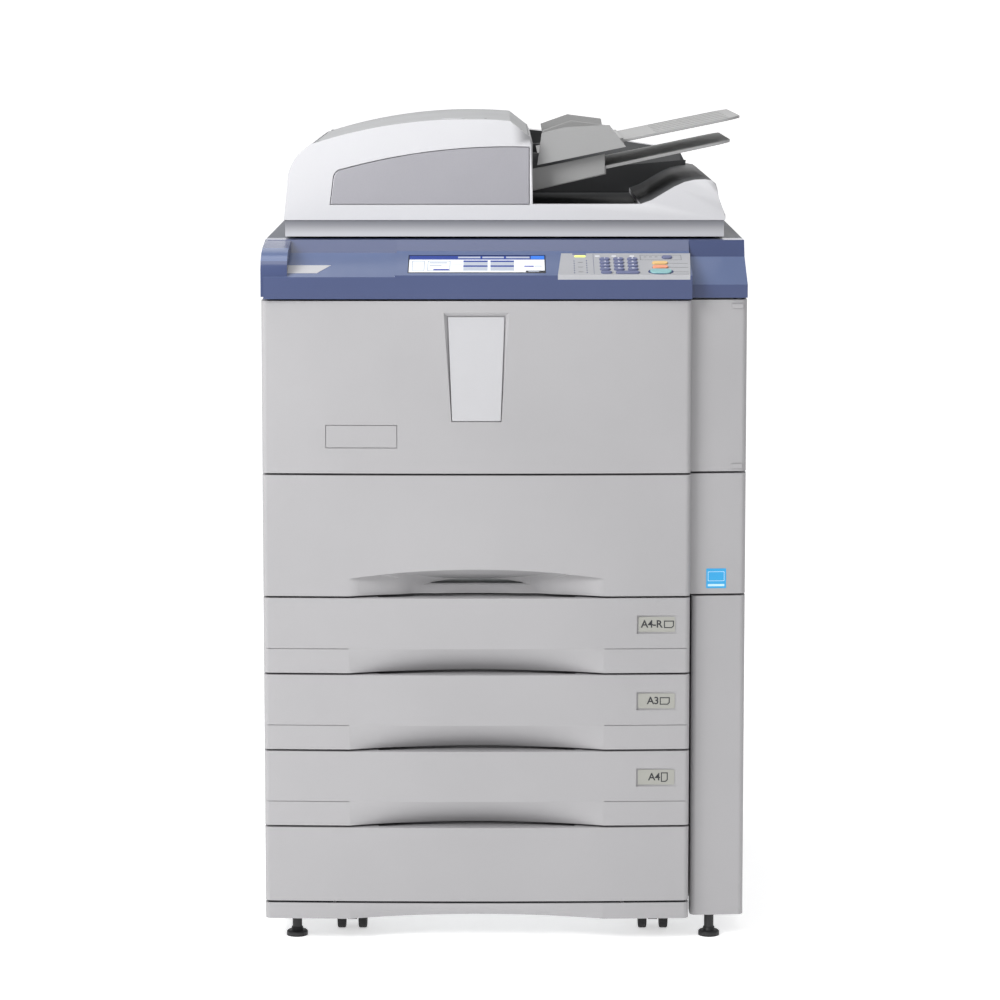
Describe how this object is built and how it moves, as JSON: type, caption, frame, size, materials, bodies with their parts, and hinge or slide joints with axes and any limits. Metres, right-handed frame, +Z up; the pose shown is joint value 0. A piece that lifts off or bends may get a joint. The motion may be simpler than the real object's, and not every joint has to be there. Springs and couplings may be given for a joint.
{
  "type": "photocopier",
  "caption": "Floor-standing office photocopier with stacked paper drawers, opening front cover, sloping control panel with keypad and screen, and a hinged document feeder with paper trays.",
  "frame": {"origin": "on the floor under the middle of the machine's outline", "axes": "+Z up, the front with the drawers and control panel faces -Y, +X to the right seen from the front"},
  "size_m": [0.698, 0.789, 1.1958],
  "materials": {
    "cover_grey": "moulded, fine texture",
    "frame_steel": "zinc plated sheet",
    "panel_blue": "moulded, satin",
    "scanner_grey": "moulded, fine texture",
    "glass": "polished",
    "key_plate_silver": "silver lacquer",
    "screen": "lit display",
    "inner_grey": "moulded",
    "engine_black": "moulded",
    "toner_black": "moulded",
    "plate_pale": "moulded, satin",
    "feeder_white": "moulded, fine texture",
    "feeder_top": "moulded, fine texture",
    "feeder_silver": "silver lacquer",
    "tray_grey": "moulded, fine texture",
    "caster_black": "moulded",
    "wheel_rubber": "moulded",
    "key_slate": "moulded",
    "key_teal": "moulded, lit",
    "key_orange": "moulded",
    "key_yellow": "moulded"
  },
  "bodies": {
    "cabinet": {"base_frame": "frame_steel", "frame_back_plate": "frame_steel", "left_cover": "cover_grey", "right_cover": "cover_grey", "rear_cover": "cover_grey", "front_skirt": "cover_grey", "lower_front_cover": "cover_grey", "scanner_housing": "scanner_grey", "panel_housing": "panel_blue", "platen_glass": "glass", "key_panel": "key_plate_silver", "display_screen": "screen", "inner_cover": "inner_grey", "print_engine": "engine_black"},
    "front_door": {"front_cover": "cover_grey", "name_plate": "plate_pale"},
    "switch_flap": {"switch_flap": "cover_grey"},
    "side_door": {"side_door": "cover_grey"},
    "toner_bottle": {"toner_cartridge": "toner_black"},
    "scan_carriage": {"scan_carriage": "engine_black"},
    "feeder": {"platen_cover": "feeder_white", "adf_housing": "feeder_white", "adf_front_panel": "feeder_silver", "adf_lower_tray": "tray_grey"},
    "feeder_cover": {"adf_cover": "feeder_top"},
    "document_tray": {"adf_tray": "tray_grey"},
    "tray_extension": {"adf_tray_extension": "tray_grey"},
    "guide_front": {"adf_guide_front": "tray_grey"},
    "guide_rear": {"adf_guide_rear": "tray_grey"},
    "rear_wheels": {"rear_wheels": "wheel_rubber"},
    "drawer_1": {"drawer_face_1": "cover_grey", "drawer_tray_1": "frame_steel"},
    "drawer_2": {"drawer_face_2": "cover_grey", "drawer_tray_2": "frame_steel"},
    "drawer_3": {"drawer_face_3": "cover_grey", "drawer_tray_3": "frame_steel"},
    "drawer_4": {"drawer_face_4": "cover_grey", "drawer_tray_4": "frame_steel"},
    "caster_left": {"caster_fork_left": "caster_black"},
    "wheels_left": {"caster_wheels_left": "wheel_rubber"},
    "foot_left": {"foot_left": "caster_black"},
    "caster_right": {"caster_fork_right": "caster_black"},
    "wheels_right": {"caster_wheels_right": "wheel_rubber"},
    "foot_right": {"foot_right": "caster_black"},
    "key_1": {"key_1": "key_slate"},
    "key_2": {"key_2": "key_slate"},
    "key_3": {"key_3": "key_slate"},
    "key_4": {"key_4": "key_slate"},
    "key_5": {"key_5": "key_slate"},
    "key_6": {"key_6": "key_slate"},
    "key_7": {"key_7": "key_slate"},
    "key_8": {"key_8": "key_slate"},
    "key_9": {"key_9": "key_slate"},
    "key_star": {"key_star": "key_slate"},
    "key_0": {"key_0": "key_slate"},
    "key_hash": {"key_hash": "key_slate"},
    "key_clear_wide": {"key_clear_wide": "key_slate"},
    "key_start": {"key_start": "key_teal"},
    "key_stop": {"key_stop": "key_orange"},
    "key_function_clear": {"key_function_clear": "key_yellow"},
    "key_power": {"key_power": "key_slate"}
  },
  "joints": [
    {"name": "front_door_hinge", "type": "hinge", "parent": "cabinet", "child": "front_door", "pos_m": [0.335, -0.3545, 0.81], "axis": [0, 0, 1], "range_deg": [0, 90]},
    {"name": "switch_flap_hinge", "type": "hinge", "parent": "front_door", "child": "switch_flap", "pos_m": [-0.2574, -0.38954, 0.7271], "axis": [0.9997, -0.0243, 0], "range_deg": [0, 85]},
    {"name": "drawer_1_slide", "type": "slide", "parent": "cabinet", "child": "drawer_1", "axis": [0, -1, 0], "range_m": [0, 0.42]},
    {"name": "drawer_2_slide", "type": "slide", "parent": "cabinet", "child": "drawer_2", "axis": [0, -1, 0], "range_m": [0, 0.42]},
    {"name": "drawer_3_slide", "type": "slide", "parent": "cabinet", "child": "drawer_3", "axis": [0, -1, 0], "range_m": [0, 0.42]},
    {"name": "drawer_4_slide", "type": "slide", "parent": "cabinet", "child": "drawer_4", "axis": [0, -1, 0], "range_m": [0, 0.42]},
    {"name": "side_door_hinge", "type": "hinge", "parent": "cabinet", "child": "side_door", "pos_m": [0.344, 0.2195, 0.73], "axis": [0, 0, 1], "range_deg": [0, 80]},
    {"name": "toner_bottle_spin", "type": "hinge", "parent": "cabinet", "child": "toner_bottle", "pos_m": [-0.235, 0, 0.85], "axis": [0, 1, 0], "continuous": true},
    {"name": "scan_carriage_slide", "type": "slide", "parent": "cabinet", "child": "scan_carriage", "axis": [1, 0, 0], "range_m": [0, 0.4]},
    {"name": "feeder_lift", "type": "hinge", "parent": "cabinet", "child": "feeder", "pos_m": [0, 0.3275, 1.0305], "axis": [-1, 0, 0], "range_deg": [0, 60]},
    {"name": "feeder_cover_hinge", "type": "hinge", "parent": "feeder", "child": "feeder_cover", "pos_m": [-0.27, 0, 1.146], "axis": [0, -1, 0], "range_deg": [0, 60]},
    {"name": "document_tray_tilt", "type": "hinge", "parent": "feeder", "child": "document_tray", "pos_m": [0.054, 0, 1.134], "axis": [0, -1, 0], "range_deg": [0, 18]},
    {"name": "tray_extension_slide", "type": "slide", "parent": "document_tray", "child": "tray_extension", "axis": [0.9799, 0, 0.1994], "range_m": [-0.045, 0]},
    {"name": "guide_front_slide", "type": "slide", "parent": "document_tray", "child": "guide_front", "axis": [0, 1, 0], "range_m": [0, 0.085]},
    {"name": "guide_rear_slide", "type": "slide", "parent": "document_tray", "child": "guide_rear", "axis": [0, 1, 0], "range_m": [-0.085, 0]},
    {"name": "caster_left_swivel", "type": "hinge", "parent": "cabinet", "child": "caster_left", "pos_m": [-0.225, -0.2995, 0.045], "axis": [0, 0, 1], "continuous": true},
    {"name": "wheels_left_spin", "type": "hinge", "parent": "caster_left", "child": "wheels_left", "pos_m": [-0.225, -0.3145, 0.02], "axis": [1, 0, 0], "continuous": true},
    {"name": "caster_right_swivel", "type": "hinge", "parent": "cabinet", "child": "caster_right", "pos_m": [0.219, -0.2995, 0.045], "axis": [0, 0, 1], "continuous": true},
    {"name": "wheels_right_spin", "type": "hinge", "parent": "caster_right", "child": "wheels_right", "pos_m": [0.219, -0.3145, 0.02], "axis": [1, 0, 0], "continuous": true},
    {"name": "rear_wheels_spin", "type": "hinge", "parent": "cabinet", "child": "rear_wheels", "pos_m": [0, 0.2955, 0.026], "axis": [1, 0, 0], "continuous": true},
    {"name": "foot_left_screw", "type": "slide", "parent": "cabinet", "child": "foot_left", "axis": [0, 0, 1], "range_m": [0, 0.01]},
    {"name": "foot_right_screw", "type": "slide", "parent": "cabinet", "child": "foot_right", "axis": [0, 0, 1], "range_m": [0, 0.01]},
    {"name": "key_1_press", "type": "slide", "parent": "cabinet", "child": "key_1", "axis": [0, 0.28, -0.96], "range_m": [0, 0.0015], "stiffness_N_per_m": 600, "springref_m": -0.001},
    {"name": "key_2_press", "type": "slide", "parent": "cabinet", "child": "key_2", "axis": [0, 0.28, -0.96], "range_m": [0, 0.0015], "stiffness_N_per_m": 600, "springref_m": -0.001},
    {"name": "key_3_press", "type": "slide", "parent": "cabinet", "child": "key_3", "axis": [0, 0.28, -0.96], "range_m": [0, 0.0015], "stiffness_N_per_m": 600, "springref_m": -0.001},
    {"name": "key_4_press", "type": "slide", "parent": "cabinet", "child": "key_4", "axis": [0, 0.28, -0.96], "range_m": [0, 0.0015], "stiffness_N_per_m": 600, "springref_m": -0.001},
    {"name": "key_5_press", "type": "slide", "parent": "cabinet", "child": "key_5", "axis": [0, 0.28, -0.96], "range_m": [0, 0.0015], "stiffness_N_per_m": 600, "springref_m": -0.001},
    {"name": "key_6_press", "type": "slide", "parent": "cabinet", "child": "key_6", "axis": [0, 0.28, -0.96], "range_m": [0, 0.0015], "stiffness_N_per_m": 600, "springref_m": -0.001},
    {"name": "key_7_press", "type": "slide", "parent": "cabinet", "child": "key_7", "axis": [0, 0.28, -0.96], "range_m": [0, 0.0015], "stiffness_N_per_m": 600, "springref_m": -0.001},
    {"name": "key_8_press", "type": "slide", "parent": "cabinet", "child": "key_8", "axis": [0, 0.28, -0.96], "range_m": [0, 0.0015], "stiffness_N_per_m": 600, "springref_m": -0.001},
    {"name": "key_9_press", "type": "slide", "parent": "cabinet", "child": "key_9", "axis": [0, 0.28, -0.96], "range_m": [0, 0.0015], "stiffness_N_per_m": 600, "springref_m": -0.001},
    {"name": "key_star_press", "type": "slide", "parent": "cabinet", "child": "key_star", "axis": [0, 0.28, -0.96], "range_m": [0, 0.0015], "stiffness_N_per_m": 600, "springref_m": -0.001},
    {"name": "key_0_press", "type": "slide", "parent": "cabinet", "child": "key_0", "axis": [0, 0.28, -0.96], "range_m": [0, 0.0015], "stiffness_N_per_m": 600, "springref_m": -0.001},
    {"name": "key_hash_press", "type": "slide", "parent": "cabinet", "child": "key_hash", "axis": [0, 0.28, -0.96], "range_m": [0, 0.0015], "stiffness_N_per_m": 600, "springref_m": -0.001},
    {"name": "key_clear_wide_press", "type": "slide", "parent": "cabinet", "child": "key_clear_wide", "axis": [0, 0.28, -0.96], "range_m": [0, 0.0015], "stiffness_N_per_m": 600, "springref_m": -0.001},
    {"name": "key_start_press", "type": "slide", "parent": "cabinet", "child": "key_start", "axis": [0, 0.28, -0.96], "range_m": [0, 0.0015], "stiffness_N_per_m": 600, "springref_m": -0.001},
    {"name": "key_stop_press", "type": "slide", "parent": "cabinet", "child": "key_stop", "axis": [0, 0.28, -0.96], "range_m": [0, 0.0015], "stiffness_N_per_m": 600, "springref_m": -0.001},
    {"name": "key_function_clear_press", "type": "slide", "parent": "cabinet", "child": "key_function_clear", "axis": [0, 0.28, -0.96], "range_m": [0, 0.0015], "stiffness_N_per_m": 600, "springref_m": -0.001},
    {"name": "key_power_press", "type": "slide", "parent": "cabinet", "child": "key_power", "axis": [0, 0.28, -0.96], "range_m": [0, 0.0015], "stiffness_N_per_m": 600, "springref_m": -0.001}
  ],
  "couplings": [
    {"joint": "guide_rear_slide", "follows": "guide_front_slide", "ratio": -1}
  ]
}
